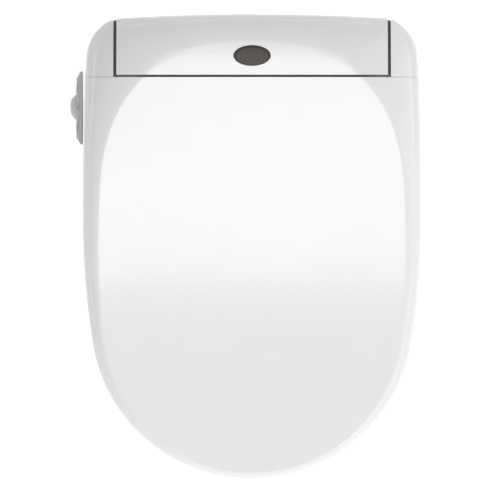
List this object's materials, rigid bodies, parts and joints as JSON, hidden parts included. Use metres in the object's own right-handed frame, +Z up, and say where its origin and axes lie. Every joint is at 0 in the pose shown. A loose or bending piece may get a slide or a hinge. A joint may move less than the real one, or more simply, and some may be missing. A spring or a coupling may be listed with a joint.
{
  "type": "electric bidet seat",
  "caption": "Elongated electric bidet toilet seat: domed lid and heated seat on a rear housing with wash nozzles, warm-air dryer, side control panel and slide-on mounting plate.",
  "frame": {"origin": "on the plane of the bowl's rim, midway between the two bowl-bolt holes", "axes": "+Y back to the cistern, +Z up, +X to the right seen from above with the nose towards the viewer"},
  "size_m": [0.393, 0.52, 0.1227],
  "materials": {
    "white_shell": "gloss white moulded shell",
    "seat_plastic": "gloss white antibacterial seat",
    "under_plastic": "satin underside",
    "soft_pad": "soft pale bumper",
    "dark_pad": "dark rubber pad",
    "bush_plastic": "acetal bush",
    "foil": "heater foil on polyimide",
    "dark_plastic": "black moulded plastic",
    "board": "coated circuit board",
    "window": "smoked infrared window",
    "steel": "zinc-plated steel",
    "brass": "machined brass",
    "chrome": "plated thread",
    "ivory_plastic": "heat-resistant moulding",
    "nozzle_plastic": "polished nozzle",
    "panel_grey": "satin grey panel",
    "panel_face": "satin silver-grey fascia",
    "hose": "translucent hose",
    "button": "satin button"
  },
  "bodies": {
    "housing": {"base_tray": "white_shell", "rear_cover": "white_shell", "front_deck": "white_shell", "ir_window": "window", "indicator_board": "board", "base_pads": "dark_pad", "housing_screws": "steel", "hinge_pins": "steel", "seat_damper": "dark_plastic", "lid_damper": "dark_plastic", "inlet_fitting": "chrome", "inlet_strainer": "brass", "solenoid_valve": "ivory_plastic", "water_heater": "ivory_plastic", "water_pump": "dark_plastic", "diverter_valve": "ivory_plastic", "water_hoses": "hose", "nozzle_cradle": "ivory_plastic", "rear_stepper": "steel", "front_stepper": "steel", "dryer_scroll": "dark_plastic", "dryer_motor": "steel", "dryer_duct": "dark_plastic", "dryer_heater": "foil", "main_board": "board", "power_module": "ivory_plastic", "power_gland": "dark_pad", "panel_pod": "panel_grey", "panel_fascia": "panel_face", "panel_board": "board"},
    "seat": {"seat_top_shell": "seat_plastic", "seat_bottom_shell": "under_plastic", "seat_heater_foil": "foil", "seat_thermostat": "dark_plastic", "occupancy_sensor": "board", "seat_bumpers": "soft_pad", "seat_bushes": "bush_plastic"},
    "lid": {"lid_shell": "white_shell", "lid_ear_left": "white_shell", "lid_ear_right": "white_shell", "lid_bumpers": "soft_pad", "lid_bushes": "bush_plastic"},
    "knob": {"knob": "panel_face"},
    "stop_button": {"stop_button": "button"},
    "rear_wash_button": {"rear_wash_button": "button"},
    "front_wash_button": {"front_wash_button": "button"},
    "dry_button": {"dry_button": "button"},
    "rear_nozzle": {"rear_nozzle": "nozzle_plastic", "rear_nozzle_tip": "nozzle_plastic"},
    "front_nozzle": {"front_nozzle": "nozzle_plastic", "front_nozzle_tip": "nozzle_plastic"},
    "rear_pinion": {"rear_pinion": "brass"},
    "front_pinion": {"front_pinion": "brass"},
    "dryer_fan": {"dryer_fan": "dark_plastic"},
    "dryer_flap": {"dryer_flap": "under_plastic"},
    "deodoriser_filter": {"deodoriser_filter": "under_plastic"},
    "mounting_plate": {"mounting_plate": "under_plastic"},
    "bolt_slider_left": {"bolt_slider_left": "dark_plastic"},
    "bolt_slider_right": {"bolt_slider_right": "dark_plastic"},
    "release_button": {"release_button": "panel_face"}
  },
  "joints": [
    {"name": "seat_hinge", "type": "hinge", "parent": "housing", "child": "seat", "pos_m": [0, 0.02, 0.08], "axis": [1, 0, 0], "range_deg": [-105, 0]},
    {"name": "lid_hinge", "type": "hinge", "parent": "seat", "child": "lid", "pos_m": [0, 0.02, 0.08], "axis": [-1, 0, 0], "range_deg": [0, 110]},
    {"name": "knob_turn", "type": "hinge", "parent": "housing", "child": "knob", "pos_m": [-0.2, -0.0433, 0.034], "axis": [-1, 0, 0], "range_deg": [0, 270]},
    {"name": "stop_button_press", "type": "slide", "parent": "housing", "child": "stop_button", "axis": [1, 0, 0], "range_m": [0, 0.001], "stiffness_N_per_m": 1500, "springref_m": -0.0006},
    {"name": "rear_wash_button_press", "type": "slide", "parent": "housing", "child": "rear_wash_button", "axis": [1, 0, 0], "range_m": [0, 0.001], "stiffness_N_per_m": 1500, "springref_m": -0.0006},
    {"name": "front_wash_button_press", "type": "slide", "parent": "housing", "child": "front_wash_button", "axis": [1, 0, 0], "range_m": [0, 0.001], "stiffness_N_per_m": 1500, "springref_m": -0.0006},
    {"name": "dry_button_press", "type": "slide", "parent": "housing", "child": "dry_button", "axis": [1, 0, 0], "range_m": [0, 0.001], "stiffness_N_per_m": 1500, "springref_m": -0.0006},
    {"name": "rear_nozzle_slide", "type": "slide", "parent": "housing", "child": "rear_nozzle", "axis": [0, -0.8829, -0.4695], "range_m": [0, 0.095]},
    {"name": "front_nozzle_slide", "type": "slide", "parent": "housing", "child": "front_nozzle", "axis": [0, -0.8829, -0.4695], "range_m": [0, 0.095]},
    {"name": "rear_pinion_spin", "type": "hinge", "parent": "housing", "child": "rear_pinion", "pos_m": [-0.027, -0.04838, 0.0456], "axis": [0, 0.4695, -0.8829], "range_deg": [0, 909.2]},
    {"name": "front_pinion_spin", "type": "hinge", "parent": "housing", "child": "front_pinion", "pos_m": [0.027, -0.04838, 0.0456], "axis": [0, -0.4695, 0.8829], "range_deg": [0, 909.2]},
    {"name": "dryer_fan_spin", "type": "hinge", "parent": "housing", "child": "dryer_fan", "pos_m": [-0.075, -0.016, 0.02], "axis": [0, 0, 1], "continuous": true},
    {"name": "dryer_flap_hinge", "type": "hinge", "parent": "housing", "child": "dryer_flap", "pos_m": [-0.075, -0.0934, 0.0265], "axis": [-1, 0, 0], "range_deg": [0, 60]},
    {"name": "filter_slide", "type": "slide", "parent": "housing", "child": "deodoriser_filter", "axis": [1, 0, 0], "range_m": [0, 0.06]},
    {"name": "plate_slide", "type": "slide", "parent": "housing", "child": "mounting_plate", "axis": [0, 1, 0], "range_m": [0, 0.1]},
    {"name": "left_bolt_slide", "type": "slide", "parent": "mounting_plate", "child": "bolt_slider_left", "axis": [0, 1, 0], "range_m": [-0.0075, 0.0075]},
    {"name": "right_bolt_slide", "type": "slide", "parent": "mounting_plate", "child": "bolt_slider_right", "axis": [0, 1, 0], "range_m": [-0.0075, 0.0075]},
    {"name": "release_button_press", "type": "slide", "parent": "housing", "child": "release_button", "axis": [1, 0, 0], "range_m": [0, 0.004], "stiffness_N_per_m": 600, "springref_m": -0.002}
  ],
  "couplings": [
    {"joint": "rear_pinion_spin", "follows": "rear_nozzle_slide", "rad_per_m": 166.67},
    {"joint": "front_pinion_spin", "follows": "front_nozzle_slide", "rad_per_m": 166.67}
  ]
}
